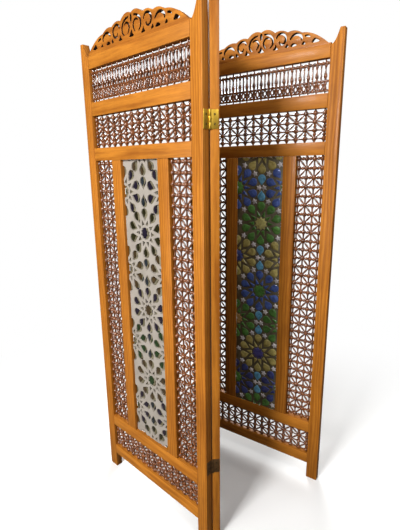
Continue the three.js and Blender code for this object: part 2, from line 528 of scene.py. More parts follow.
def along(a, b, c, d, t):
    # Where a Catmull-Rom curve is between b and c.
    return 0.5 * (2 * b + (c - a) * t + (2 * a - 5 * b + 4 * c - d) * t**2 + (3 * b - a - 3 * c + d) * t**3)


def smoothLine(points, steps=6):
    ends = [points[0], *points, points[-1]]
    line = []
    for corners in zip(ends, ends[1:], ends[2:], ends[3:]):
        for i in range(steps):
            line.append(tuple(along(*values, i / steps) for values in zip(*corners)))
    return [*line, points[-1]]


def scrollOutline(width, points):
    # A sawn slot that follows the points, rounded at its start and tapered to its end.
    line = smoothLine(points)
    left, right = [], []
    for i, (x, z) in enumerate(line):
        (xa, za), (xb, zb) = line[max(0, i - 1)], line[min(len(line) - 1, i + 1)]
        span = math.hypot(xb - xa, zb - za)
        t = i / (len(line) - 1)
        half = width / 2 * max(0.2, math.sin(math.pi * min(1, 0.1 + 0.84 * t)) ** 0.5)
        sideX, sideZ = -(zb - za) / span * half, (xb - xa) / span * half
        left.append((x + sideX, z + sideZ))
        right.append((x - sideX, z - sideZ))
    return left + right[::-1]


def softened(points, amount=0.28):
    # Cuts each corner twice, so that a sawn hole has rounded corners.
    for _ in range(2):
        cut = []
        for (x0, z0), (x1, z1) in zip(points, points[1:] + points[:1]):
            cut.append((x0 + (x1 - x0) * amount, z0 + (z1 - z0) * amount))
            cut.append((x1 + (x0 - x1) * amount, z1 + (z0 - z1) * amount))
        points = cut
    return points


def flatCutMesh(outline, holes, thickness, edge):
    curve = bpy.data.curves.new("cut", "CURVE")
    curve.dimensions, curve.fill_mode = "2D", "BOTH"
    curve.extrude, curve.offset = thickness / 2 - edge, -edge
    curve.bevel_depth, curve.bevel_resolution = edge, 2
    for points in [outline, *holes]:
        spline = curve.splines.new("POLY")
        spline.points.add(len(points) - 1)
        spline.use_cyclic_u = True
        for point, (x, z) in zip(spline.points, points):
            point.co = (x, z, 0, 1)
    mesh = settle(showObject("cut", curve))
    mesh.transform(Matrix.Rotation(quarterTurn, 4, "X"))
    smooth(mesh, 50)
    work = bmesh.new()
    work.from_mesh(mesh)
    bmesh.ops.remove_doubles(work, verts=work.verts, dist=1e-6)
    bmesh.ops.recalc_face_normals(work, faces=work.faces)
    work.to_mesh(mesh)
    work.free()
    return mesh


def crestHoles():
    middle, foot = crestSizes["middle"], crestSizes["foot"]
    one = [softened(points) for points in crestSizes["centre"]]
    both = [scrollOutline(width, points) for width, points in crestSizes["scrolls"]]
    both += [softened(points) for points in crestSizes["darts"]]
    sides = [(1, points) for points in one] + [(side, points) for side in (-1, 1) for points in both]
    return [[(middle + side * x / 1000, foot + z / 1000) for x, z in points] for side, points in sides]


def makeCrests():
    last = inner - leafSizes["gap"]
    steps = 260
    across = [last - i / steps * 2 * last for i in range(steps + 1)]
    base = leafSizes["crestBase"] + leafSizes["gap"]
    outline = [(-last, base), (last, base), *((x, crestTop(x)) for x in across)]
    mesh = flatCutMesh(outline, crestHoles(), crestSizes["thickness"], crestSizes["edge"])
    margin = crestSizes["margin"]
    # The walls inside the piercings take the dark painted-shade finish.
    walls = []
    for face in mesh.polygons:
        x, z = face.center.x, face.center.z
        pierced = abs(x) < last - margin and base + margin < z < crestTop(x) - margin
        if pierced and abs(face.normal.y) < 0.2:
            walls.append(face.index)
    for leaf in leafTurns:
        node = leaf + "_crest"
        wood = materials["across" + leaf]
        piece = finishPiece(node + "_carved", placed(mesh, leaf), leaf, wood, [node])
        piece.data.materials.append(materials["sawn"])
        for index in walls:
            piece.data.polygons[index].material_index = 1


makeCrests()
print("crests carved")


# Geometry Nodes trees


def shapeTree(name, inputs):
    sockets = [*inputs, ("Material", "Material")]
    tree, given, out = newGroup(name, "GeometryNodeTree", sockets, [("Geometry", "Geometry")])
    return tree, given, out["Geometry"]


def labelled(sizes):
    # A size as a tree's inputs name it: slimEnd becomes Slim End.
    spaced = {"".join(" " + c if c.isupper() else c for c in word): size for word, size in sizes.items()}
    return {word[0].upper() + word[1:]: size for word, size in spaced.items()}


def grow(tree, sizes, start=None):
    # Runs a tree on a fresh object and keeps its result as a plain mesh.
    holder = showObject(tree.name, start or bpy.data.meshes.new(tree.name))
    modifier = holder.modifiers.new(tree.name, "NODES")
    modifier.node_group = tree
    values = labelled(sizes)
    for item in tree.interface.items_tree:
        if item.item_type == "SOCKET" and item.in_out == "INPUT" and item.name in values:
            modifier[item.identifier] = values[item.name]
    return settle(holder)


def geo(tree, kind, values=None, **settings):
    return addNode(tree, "GeometryNode" + kind, values, **settings).outputs[0]


def sweptNode(tree, start, end, steps, radius, sides):
    # A round bar along a line, its radius a value or a field along it.
    line = geo(tree, "CurvePrimitiveLine", {"Start": start, "End": end})
    fine = geo(tree, "ResampleCurve", {"Curve": line, "Count": steps})
    ring = geo(tree, "CurvePrimitiveCircle", {"Resolution": sides, "Radius": 1.0})
    sweep = {"Curve": fine, "Profile Curve": ring, "Scale": radius, "Fill Caps": True}
    return geo(tree, "CurveToMesh", sweep)


def rodTree():
    # A turned rod along X: thin at its ends, swelling to a bead in the middle of each part.
    inputs = floats("Length", "Thin", "Thick")
    inputs += [("Beads", "Int", 1), ("Sharpness", "Float", 2.0), ("Steps", "Int", 9)]
    tree, given, out = newGroup("turnedRod", "GeometryNodeTree", inputs, [("Geometry", "Geometry")])
    calc = partial(mathNode, tree)
    half = calc("MULTIPLY", given["Length"], 0.5)
    along = geo(tree, "SplineParameter")
    wave = calc("SINE", calc("MULTIPLY", calc("MULTIPLY", along, math.pi), given["Beads"]))
    swell = calc("POWER", calc("ABSOLUTE", wave), given["Sharpness"])
    radius = calc("MULTIPLY_ADD", swell, calc("SUBTRACT", given["Thick"], given["Thin"]), given["Thin"])
    start, end = vectorNode(tree, calc("MULTIPLY", half, -1.0)), vectorNode(tree, half)
    tree.links.new(sweptNode(tree, start, end, given["Steps"], radius, 6), out["Geometry"])
    return tree


turnedRod = rodTree()


def rodNode(tree, length, thin, thick, **more):
    values = {"Length": length, "Thin": thin, "Thick": thick, **labelled(more)}
    return geo(tree, "Group", values, node_tree=turnedRod)


def gridNode(tree, sizeX, sizeY, countX, countY):
    values = {"Size X": sizeX, "Size Y": sizeY, "Vertices X": countX, "Vertices Y": countY}
    return geo(tree, "MeshGrid", values)


def instanceNode(tree, points, shape, rotation=(0, 0, 0), **more):
    values = {"Points": points, "Instance": shape, "Rotation": rotation, **labelled(more)}
    return geo(tree, "InstanceOnPoints", values)


def closeTree(tree, given, out, parts, upright=True):
    # Joins the parts, stands them up from x, y to x, z, realises them and gives them their finish.
    joined = addNode(tree, "GeometryNodeJoinGeometry")
    for part in parts:
        tree.links.new(part, joined.inputs[0])
    shape = joined.outputs[0]
    if upright:
        shape = geo(tree, "Transform", {"Geometry": shape, "Rotation": (quarterTurn, 0, 0)})
    shape = geo(tree, "SetShadeSmooth", {"Geometry": geo(tree, "RealizeInstances", {"Geometry": shape})})
    tree.links.new(geo(tree, "SetMaterial", {"Geometry": shape, "Material": given["Material"]}), out)
    return tree


turned = (0, 0, quarterTurn)


def grilleTree():
    # Knots on a grid, turned rods between them, short ends to the frame, and one brace across each cell.
    inputs = [("Columns", "Int"), ("Rows", "Int"), ("Start", "Int"), ("Beads Up", "Bool")]
    inputs += floats("Pitch Across", "Pitch Up", "End Across", "End Up", "Knot", "Slim End", "Slim Middle")
    inputs += floats("Bead End", "Bead Middle", "Bead Sharpness")
    inputs += floats("Brace End", "Brace Middle", "Brace Sharpness")
    tree, given, out = shapeTree("turnedGrille", inputs)
    calc, grid, rod = (partial(make, tree) for make in (mathNode, gridNode, rodNode))
    columns, rows, across, up = given["Columns"], given["Rows"], given["Pitch Across"], given["Pitch Up"]
    fewerColumns, fewerRows = calc("SUBTRACT", columns, 1.0), calc("SUBTRACT", rows, 1.0)
    sizeX, sizeY = calc("MULTIPLY", fewerColumns, across), calc("MULTIPLY", fewerRows, up)
    innerX, innerY = calc("SUBTRACT", sizeX, across), calc("SUBTRACT", sizeY, up)
    outerX, outerY = calc("ADD", sizeX, given["End Across"]), calc("ADD", sizeY, given["End Up"])

    def either(beads, slim):
        choice = {"Switch": given["Beads Up"], "False": slim, "True": beads}
        return geo(tree, "Switch", choice, input_type="FLOAT")

    beaded = given["Bead End"], given["Bead Middle"], given["Bead Sharpness"]
    slim = given["Slim End"], given["Slim Middle"], 1.0
    upThin, upThick, upSharp = (either(*pair) for pair in zip(beaded, slim))
    acrossThin, acrossThick, acrossSharp = (either(*pair) for pair in zip(slim, beaded))
    knot = geo(tree, "MeshIcoSphere", {"Radius": given["Knot"], "Subdivisions": 2})
    rung = rod(across, acrossThin, acrossThick, sharpness=acrossSharp, steps=13)
    post = rod(up, upThin, upThick, sharpness=upSharp, steps=13)
    ends = given["End Across"], given["End Up"]
    stubs = [rod(end, given["Slim Middle"], given["Slim End"], steps=5) for end in ends]
    parts = [
        instanceNode(tree, grid(sizeX, sizeY, columns, rows), knot),
        instanceNode(tree, grid(innerX, sizeY, fewerColumns, rows), rung),
        instanceNode(tree, grid(sizeX, innerY, columns, fewerRows), post, turned),
        instanceNode(tree, grid(outerX, sizeY, 2, rows), stubs[0]),
        instanceNode(tree, grid(sizeX, outerY, columns, 2), stubs[1], turned),
    ]

    # The braces lean one way and the other by turns, up each column and from one to the next.
    place = geo(tree, "InputIndex")
    column = calc("FLOOR", calc("DIVIDE", calc("ADD", place, 0.5), fewerRows))
    row = calc("SUBTRACT", place, calc("MULTIPLY", column, fewerRows))
    parity = calc("FLOORED_MODULO", calc("ADD", row, calc("ADD", column, given["Start"])), 2.0)
    way = calc("SUBTRACT", 1.0, calc("MULTIPLY", calc("ROUND", parity), 2.0))
    slope = calc("ARCTAN2", up, across)
    span = calc("SQRT", calc("ADD", calc("MULTIPLY", up, up), calc("MULTIPLY", across, across)))
    brace = rod(span, given["Brace End"], given["Brace Middle"], sharpness=given["Brace Sharpness"])
    lean = vectorNode(tree, z=calc("MULTIPLY", slope, way))
    parts.append(instanceNode(tree, grid(innerX, innerY, fewerColumns, fewerRows), brace, lean))
    return closeTree(tree, given, out, parts)


turnedGrille = grilleTree()
# End pieces reach a little into the frame and into the knots.
grilleKinds = {
    "band": {"columns": 15, "rows": 4, "endAcross": 0.0093, "endUp": 0.0136, "start": 1, "beadsUp": True},
    "base": {"columns": 15, "rows": 4, "endAcross": 0.0093, "endUp": 0.0091, "start": 1, "beadsUp": True},
    "strip": {"columns": 4, "rows": 32, "endAcross": 0.0086, "endUp": 0.013, "start": 1, "beadsUp": False},
}
grilleLift = {"band": 0, "base": 0, "strip": 0.002}
grilleSizes = {
    "knot": 0.0094,
    "slimEnd": 0.006,
    "slimMiddle": 0.0031,
    "beadEnd": 0.0012,
    "beadMiddle": 0.0068,
    "beadSharpness": 2.6,
    "braceEnd": 0.0015,
    "braceMiddle": 0.004,
    "braceSharpness": 1.6,
}


def grilleMesh(kind, width, height, x, z):
    rule = grilleKinds[kind]
    pitches = {
        "pitchAcross": (width - 2 * rule["endAcross"]) / (rule["columns"] - 1),
        "pitchUp": (height - 2 * rule["endUp"]) / (rule["rows"] - 1),
    }
    mesh = grow(turnedGrille, {**rule, **grilleSizes, **pitches, "material": materials["turned"]})
    mesh.transform(Matrix.Translation((x, 0, z + grilleLift[kind])))
    return mesh


def hangTurned(part, mesh):
    for leaf in leafTurns:
        node = f"{leaf}_{part}"
        piece = placed(mesh, leaf)
        finishPiece(node + "_turned", piece, leaf, materials["turned"], [node])


def makeGrilles():
    muntin = leafSizes["muntinOut"]
    openings = {
        "band": ("band", -inner, inner, railHeights["rail_mid"][1], railHeights["rail_band"][0]),
        "base_band": ("base", -inner, inner, railHeights["rail_foot"][1], railHeights["rail_sill"][0]),
        "strip_left": ("strip", -inner, -muntin, panelLow, panelHigh),
        "strip_right": ("strip", muntin, inner, panelLow, panelHigh),
    }
    for part, (kind, x0, x1, z0, z1) in openings.items():
        hangTurned(part, grilleMesh(kind, x1 - x0, z1 - z0, (x0 + x1) / 2, (z0 + z1) / 2))


makeGrilles()
print("grilles turned")


# Shape of a baluster: how far up, and how thick there against its radius
spindleProfile = [
    (0, 0.7),
    (0.06, 0.55),
    (0.11, 0.72),
    (0.15, 0.6),
    (0.22, 0.9),
    (0.3, 0.98),
    (0.4, 0.78),
    (0.52, 0.52),
    (0.72, 0.44),
    (0.8, 0.6),
    (0.88, 0.86),
    (0.94, 0.6),
    (1, 0.8),
]


def spindleTree():
    # Thick and thin balusters in turn between two beaded rails, a row of crosses under them, and short ends.
    inputs = [("Pairs", "Int"), *floats("Pitch", "Low", "Middle", "High", "Floor", "Ceiling")]
    inputs += floats("Width", "Rail", "Vase", "Thin Core", "Thin Swell", "Cross Thin", "Cross Thick", "Bead")
    inputs += floats("Foot Thin", "Foot Thick", "Stub Thin", "Stub Thick")
    tree, given, out = shapeTree("spindleRow", inputs)
    calc, grid, rod = (partial(make, tree) for make in (mathNode, gridNode, rodNode))
    pitch, pairs = given["Pitch"], given["Pairs"]
    double = calc("MULTIPLY", pitch, 2.0)
    tall = calc("SUBTRACT", given["High"], given["Middle"])
    short = calc("SUBTRACT", given["Middle"], given["Low"])
    parts = []

    def lift(shape, height):
        move = vectorNode(tree, 0.0, height)
        parts.append(geo(tree, "Transform", {"Geometry": shape, "Translation": move}))

    def row(points, shape, height, rotation=(0, 0, 0)):
        lift(instanceNode(tree, points, shape, rotation), height)

    def between(first, second):
        return calc("MULTIPLY", calc("ADD", given[first], given[second]), 0.5)

    allCount = calc("ADD", calc("MULTIPLY", pairs, 2.0), 1.0)
    fullWidth = calc("MULTIPLY", pairs, double)
    thickLine = grid(fullWidth, 0.0, calc("ADD", pairs, 1.0), 1)
    thinLine = grid(calc("SUBTRACT", fullWidth, double), 0.0, pairs, 1)

    profile = addNode(tree, "ShaderNodeFloatCurve", {"Value": geo(tree, "SplineParameter")})
    curve = profile.mapping.curves[0]
    curve.points[0].location, curve.points[1].location = spindleProfile[0], spindleProfile[-1]
    for place in spindleProfile[1:-1]:
        curve.points.new(*place)
    profile.mapping.update()
    thick = calc("MULTIPLY", profile.outputs[0], given["Vase"])
    thin = calc("MULTIPLY_ADD", profile.outputs[0], given["Thin Swell"], given["Thin Core"])
    foot, head = vectorNode(tree), vectorNode(tree, 0.0, tall)
    for line, radius in ((thickLine, thick), (thinLine, thin)):
        row(line, sweptNode(tree, foot, head, 24, radius, 8), given["Middle"])

    for height, size in (("Low", 0.95), ("Middle", 1.0), ("High", 1.28)):
        railThick = calc("MULTIPLY", given["Rail"], size)
        railThin = calc("MULTIPLY", railThick, 0.76)
        rail = rod(given["Width"], railThin, railThick, beads=allCount, steps=200, sharpness=1.0)
        lift(rail, given[height])

    slope = calc("ARCTAN2", short, pitch)
    span = calc("SQRT", calc("ADD", calc("MULTIPLY", short, short), calc("MULTIPLY", pitch, pitch)))
    cross = rod(span, given["Cross Thin"], given["Cross Thick"], beads=2, sharpness=1.0, steps=9)
    cells = grid(calc("SUBTRACT", fullWidth, pitch), 0.0, calc("SUBTRACT", allCount, 1.0), 1)
    half = between("Low", "Middle")
    for sign in (1.0, -1.0):
        row(cells, cross, half, vectorNode(tree, z=calc("MULTIPLY", slope, sign)))
    row(cells, geo(tree, "MeshIcoSphere", {"Radius": given["Bead"], "Subdivisions": 2}), half)
    post = rod(short, given["Foot Thin"], given["Foot Thick"], beads=2, sharpness=1.0, steps=11)
    row(thickLine, post, half, turned)

    for first, second in (("Floor", "Low"), ("High", "Ceiling")):
        length = calc("SUBTRACT", given[second], given[first])
        stub = rod(length, given["Stub Thin"], given["Stub Thick"], steps=5)
        row(thickLine, stub, between(first, second), turned)
    return closeTree(tree, given, out, parts)


spindleSizes = {
    "pairs": 16,
    "pitch": 0.0152,
    "low": 1.608,
    "middle": 1.639,
    "high": 1.6975,
    "rail": 0.005,
    "vase": 0.0072,
    "thinCore": 0.0019,
    "thinSwell": 0.0022,
    "crossThin": 0.0022,
    "crossThick": 0.0036,
    "bead": 0.0042,
    "footThin": 0.004,
    "footThick": 0.0062,
    "stubThin": 0.0024,
    "stubThick": 0.0034,
}
spindleShift = (-0.003, -0.004, 0)


def makeSpindles():
    ends = {"floor": railHeights["rail_band"][1], "ceiling": railHeights["rail_top"][0], "width": 2 * inner}
    mesh = grow(spindleTree(), {**spindleSizes, **ends, "material": materials["turned"]})
    mesh.transform(Matrix.Translation(spindleShift))
    hangTurned("spindles", mesh)


makeSpindles()
print("spindles turned")


# Stained panel: ten-fold rosettes on a rhombic net, each with a star, darts and drops

panelSizes = {
    "period": 0.294,
    "first": 1.13,
    "sideways": 0.107,
    "starAt": 0.0957,
    "dropAt": 0.074,
    "pairAt": 0.037,
    "dartAt": 0.038,
    "traceryThickness": 0.006,
    "traceryMiddle": 0.002,
    "bedThickness": 0.003,
    "bedMiddle": 0.0068,
    "bedRound": 0.0003,
    "depth": 0.05,
    "starApart": 0.006,
    "reach": 0.03,
    "gap": 0.0003,
}
# Each shape's rings from low to high: scale and height
stoneRings = [(0.98, 0.0004), (1, 0.0012), (0.98, 0.0021), (0.9, 0.003), (0.66, 0.0038), (0.3, 0.0042)]
rimRings = [(1.1, -0.001), (1.22, 0.0005), (1.18, 0.0009)]
backRings = [(0.99, -0.0042), (1.02, -0.0012)]
cutterRings = [(0.92, -0.006), (0.98, 0.0006), (1.06, 0.006)]
# Glass colours: the hues are the glass's own, and those of the c leaf's set are raised brighter as painted
# light shining through the glass
glassTints = {
    "green": (0.1, 0.26, 0.06),
    "moss": (0.15, 0.14, 0.04),
    "olive": (0.5, 0.42, 0.14),
    "brown": (0.42, 0.26, 0.1),
    "blue": (0.08, 0.14, 0.44),
    "navy": (0.06, 0.08, 0.26),
    "plum": (0.11, 0.08, 0.17),
    "slate": (0.14, 0.19, 0.24),
    "sky": (0.15, 0.44, 0.68),
    "frost": (0.7, 0.66, 0.67),
    "straw": (0.56, 0.52, 0.19),
    "indigo": (0.1, 0.09, 0.32),
}
# Drops and star of each rosette from the top, on the centre line, then at the sides; last the pairs between
# The c leaf's set, brightened as painted light coming through the glass
lightThroughTints = (
    [("olive", "blue"), ("green", "straw"), ("blue", "green"), ("olive", "indigo"), ("green", "navy")],
    [("blue", "green"), ("olive", "navy"), ("green", "brown"), ("navy", "green")],
    "sky",
)
duskTints = (
    [("brown", "plum"), ("moss", "plum"), ("plum", "brown"), ("brown", "green"), ("moss", "brown")],
    [("plum", "green"), ("brown", "plum"), ("green", "brown"), ("plum", "green")],
    "slate",
)
# How each leaf's panel was laid: its colours, and how far off the middle
leafPanels = {
    "a": {"tints": duskTints, "across": 0.009, "up": -0.003},
    "b": {"tints": duskTints, "across": 0.008, "up": -0.006},
    "c": {"tints": lightThroughTints, "across": 0.01, "up": -0.013},
}
shapeOrder = ["drop", "dart", "bigStar", "smallStar"]
# drop: radius and distance of its point; dart: half width, base, point; stars: outer and inner radius
shapeSizes = {
    "cast": {
        "drop": (0.0168, 0.0288),
        "dart": (0.0072, -0.0068, 0.0128),
        "bigStar": (0.0248, 0.0205),
        "smallStar": (0.0108, 0.0058),
    },
    "stone": {
        "drop": (0.0168, 0.0268),
        "dart": (0.0078, -0.008, 0.0175),
        "bigStar": (0.0295, 0.0212),
        "smallStar": (0.0136, 0.0074),
    },
}


def shapeOutline(kind, sizes):
    # Outlines in x, y about the shape's own middle, a drop's round end along +y.
    points = []
    if kind == "drop":
        radius, tip = sizes[kind]
        turn = math.degrees(math.acos(radius / tip))
        for i in range(17):
            angle = math.radians(-90 + turn + (360 - 2 * turn) * i / 16)
            points.append((radius * math.cos(angle), radius * math.sin(angle)))
        points.append((0, -tip))
    elif kind == "dart":
        half, low, high = sizes[kind]
        points = [(-half, low), (half, low), (half * 0.7, low * -0.2), (0, high), (-half * 0.7, low * -0.2)]
    else:
        count = 10 if kind == "bigStar" else 5
        for i in range(2 * count):
            radius = sizes[kind][i % 2]
            angle = math.radians(90 + 180 * i / count)
            points.append((radius * math.cos(angle), radius * math.sin(angle)))
    return points


def layeredShape(name, outline, layers):
    # Rings of the outline, each scaled and set at its height, closed at both ends.
    work = bmesh.new()
    rings = [[work.verts.new((x * size, y * size, height)) for x, y in outline] for size, height in layers]
    count = len(outline)
    for lower, upper in zip(rings, rings[1:]):
        for i in range(count):
            work.faces.new((lower[i], lower[(i + 1) % count], upper[(i + 1) % count], upper[i]))
    work.faces.new(rings[0][::-1])
    work.faces.new(rings[-1])
    bmesh.ops.recalc_face_normals(work, faces=work.faces)
    return meshFrom(work, name)


def shapeCollection(name, sizes, layers):
    made = bpy.data.collections.new(name)
    for number, kind in enumerate(shapeOrder):
        mesh = layeredShape(f"{name}{number}", shapeOutline(kind, shapeSizes[sizes]), layers)
        made.objects.link(bpy.data.objects.new(f"{name}{number}{kind}", mesh))
    return made


def panelLayout(leaf):
    # Every piece of the panel as (kind, x, z, turn, tint name); turn 0 points a drop's round end up.
    spots = []
    period, first, sideways = (panelSizes[word] for word in ("period", "first", "sideways"))
    laid = leafPanels[leaf]
    middleTints, sideTints, pairTint = laid["tints"]
    rosettes = [(0, first + period * (1 - i), tints) for i, tints in enumerate(middleTints)]
    for i, tints in enumerate(sideTints):
        rosettes += [(side * sideways, first + period * (0.5 - i), tints) for side in (-1, 1)]
    stars = set()
    for x, z, (dropTint, starTint) in rosettes:

        def around(kind, word, angle, tint):
            spots.append((kind, *spoke(word, angle), angle - quarterTurn, tint))

        def spoke(word, angle):
            return x + panelSizes[word] * math.cos(angle), z + panelSizes[word] * math.sin(angle)

        spots.append(("bigStar", x, z, 0, starTint))
        for i in range(10):
            drop, dart = math.radians(90 + 36 * i), math.radians(72 + 36 * i)
            around("drop", "dropAt", drop, dropTint)
            around("dart", "dartAt", dart, dropTint)
            star = tuple(round(value, 3) for value in spoke("starAt", dart))
            if all(math.dist(star, other) > panelSizes["starApart"] for other in stars):
                stars.add(star)
                spots.append(("smallStar", *star, dart - quarterTurn, "frost"))
    for i in range(4):
        for side in (-1, 1):
            z = first + period * (0.5 - i) + side * panelSizes["pairAt"]
            spots.append(("drop", 0, z, 0 if side > 0 else math.pi, pairTint))
    reach = panelSizes["reach"]
    low, high, half = panelLow - reach, panelHigh + reach, leafSizes["muntinIn"] + reach
    moved = [(kind, x + laid["across"], z + laid["up"], turn, tint) for kind, x, z, turn, tint in spots]
    return [spot for spot in moved if low < spot[2] < high and abs(spot[1]) < half]


def layoutMesh(spots, shade):
    mesh = bpy.data.meshes.new("panelLayout")
    mesh.from_pydata([(x, z, 0) for _, x, z, _, _ in spots], [], [])
    for label, kind in (("kind", "INT"), ("turn", "FLOAT"), ("tint", "FLOAT_COLOR")):
        mesh.attributes.new(label, kind, "POINT")
    for index, (kind, _, _, turn, tint) in enumerate(spots):
        mesh.attributes["kind"].data[index].value = shapeOrder.index(kind)
        mesh.attributes["turn"].data[index].value = turn
        mesh.attributes["tint"].data[index].color = (*(value * shade for value in glassTints[tint]), 1)
    return mesh


def inlayTree(cutting):
    # Sets a shape on each point, then keeps what lies in the panel or cuts it out of the panel.
    inputs = [("Geometry", "Geometry"), ("Shapes", "Collection"), ("Size", "Vector"), ("Middle", "Vector")]
    inputs += [("Tiles Across", "Int", 2), ("Tiles Up", "Int", 2)]
    tree, given, out = shapeTree("inlayCut" if cutting else "inlaySet", inputs)
    choice = {"Collection": given["Shapes"], "Separate Children": True, "Reset Children": True}
    shapes = geo(tree, "CollectionInfo", choice)
    kind = geo(tree, "InputNamedAttribute", {"Name": "kind"}, data_type="INT")
    turn = vectorNode(tree, z=geo(tree, "InputNamedAttribute", {"Name": "turn"}, data_type="FLOAT"))
    spread = instanceNode(tree, given["Geometry"], shapes, turn, pickInstance=True, instanceIndex=kind)
    tiles = {"Size": given["Size"], "Vertices X": given["Tiles Across"], "Vertices Y": given["Tiles Up"]}
    block = geo(tree, "Transform", {"Geometry": geo(tree, "MeshCube", tiles), "Translation": given["Middle"]})
    way = "DIFFERENCE" if cutting else "INTERSECT"
    meet = addNode(tree, "GeometryNodeMeshBoolean", operation=way, solver="MANIFOLD")
    tree.links.new(block, meet.inputs["Mesh 1" if cutting else "Mesh 2"])
    tree.links.new(geo(tree, "RealizeInstances", {"Geometry": spread}), meet.inputs["Mesh 2"])
    return closeTree(tree, given, out, [meet.outputs[0]])


inlayCut, inlaySet = inlayTree(True), inlayTree(False)


def glassLayers(spots, block):
    # Domed stones on one face, dark rims round them, and the same pieces seen through the casting, darkened
    # there as painted shade.
    layers = (
        (shapeCollection("stone", "stone", stoneRings), 1),
        (shapeCollection("rim", "stone", rimRings), glassLook["rimShade"]),
        (shapeCollection("back", "cast", backRings), glassLook["backPaintedShade"]),
    )
    work = bmesh.new()
    for shapes, shade in layers:
        sizes = {**block, "shapes": shapes, "material": materials["glass"]}
        work.from_mesh(grow(inlaySet, sizes, layoutMesh(spots, shade)))
    glass = meshFrom(work, "glass")
    smooth(glass, 35)
    return glass


def makePanels():
    gap, thick = panelSizes["gap"], panelSizes["traceryThickness"]
    wide, tall = 2 * (leafSizes["muntinIn"] - gap), panelHigh - panelLow - 2 * gap
    # In a tree the sheet lies flat, its height standing for -y of the leaf.
    block = {"size": (wide, tall, panelSizes["depth"]), "middle": (0, (panelLow + panelHigh) / 2, 0)}
    cutters = shapeCollection("cutter", "cast", cutterRings)
    cast = {**block, "size": (wide, tall, thick), "shapes": cutters, "material": materials["plaster"]}
    bedOutline = rectangle(-wide / 2, wide / 2, panelLow + gap, panelHigh - gap)
    bed = boardMesh(bedOutline, panelSizes["bedThickness"], panelSizes["bedRound"])
    back = Matrix.Rotation(math.pi, 4, "Z")
    for leaf, side in glassSides.items():
        spots = panelLayout(leaf)
        openings = [spot for spot in spots if spot[0] != "smallStar"]
        sheet = grow(inlayCut, {**cast, "tilesAcross": 18, "tilesUp": 101}, layoutMesh(openings, 1))
        smooth(sheet, 25)
        glass = glassLayers(spots, block)
        # The tracery's open face and the domes look opposite ways.
        flip = Matrix.Identity(4) if side > 0 else back
        traceryAt = flip @ Matrix.Translation((0, panelSizes["traceryMiddle"], 0))
        bedAt = flip @ Matrix.Translation((0, panelSizes["bedMiddle"], 0))
        for part, mesh, at, material, slot, nodes in (
            ("tracery_cast", sheet, traceryAt, "plaster", "tracery_plaster", [leaf + "_tracery"]),
            ("pane_stones", glass, bedAt @ back, "glass", "stained_glass", [leaf + "_pane"]),
            ("pane_bed", bed.copy(), bedAt, "bed", "stained_glass", []),
        ):
            mesh.transform(leafPlaces[leaf] @ at)
            finishPiece(f"{leaf}_{part}", mesh, leaf, materials[material], nodes)


makePanels()
print("panels set")


# Hinges: plates on the end faces, knuckles, pins and screws

hingeSizes = {
    "height": 0.054,
    "plateWidth": 0.0224,
    "plate": 0.0018,
    "inset": 0.0026,
    "barrel": 0.0029,
    "pin": 0.0022,
    "pinProud": 0.0012,
    "pinHead": 0.0016,
    "round": 0.0004,
    "heights": {"low": 0.311, "high": 1.491},
    "screw": 0.0041,
    "sunk": 0.0007,
}
# Each hinge's half: leaf, name, end and side of the leaf, and whether it carries the middle knuckle
hingeHalves = [
    ("a", "a_hinge", 1, 1, True),
    ("b", "b_near_hinge", 1, -1, False),
    ("b", "b_far_hinge", -1, 1, False),
    ("c", "c_hinge", -1, -1, True),
]


def boxInto(work, *spans):
    made = bmesh.ops.create_cube(work, size=1)["verts"]
    size = Matrix.Diagonal((*(high - low for low, high in spans), 1))
    place = Matrix.Translation([(low + high) / 2 for low, high in spans])
    bmesh.ops.transform(work, matrix=place @ size, verts=made)


def rodInto(work, x, y, low, high, radius, sides):
    at = Matrix.Translation((x, y, (low + high) / 2))
    sizes = {"segments": sides, "radius1": radius, "radius2": radius, "depth": high - low}
    bmesh.ops.create_cone(work, cap_ends=True, matrix=at, **sizes)


def hingeMesh(z, end, side, inside):
    height, plate, gap = hingeSizes["height"], hingeSizes["plate"], leafSizes["gap"]
    work = bmesh.new()
    axis = end * (halfLeaf + hingeAxis["out"]), side * (halfThick + hingeAxis["side"])
    across = sorted((end * (halfLeaf + gap), end * (halfLeaf + gap + plate)))
    edge = side * (halfThick - hingeSizes["inset"])
    through = sorted((edge, edge - side * hingeSizes["plateWidth"]))
    boxInto(work, across, through, (z - height / 2, z + height / 2))
    third = height / 3
    for i in [1] if inside else [0, 2]:
        low = z - height / 2 + i * third + gap / 2
        high = low + third - gap
        boxInto(work, across, sorted((edge - side * 0.001, axis[1])), (low, high))
        rodInto(work, *axis, low, high, hingeSizes["barrel"], 20)
    if not inside:
        for sign in (-1, 1):
            tip = z + sign * (height / 2 + hingeSizes["pinProud"])
            rodInto(work, *axis, *sorted((tip, tip - sign * hingeSizes["pinHead"])), hingeSizes["pin"], 16)
    return bevelled(meshFrom(work, "hinge"), hingeSizes["round"], 30)


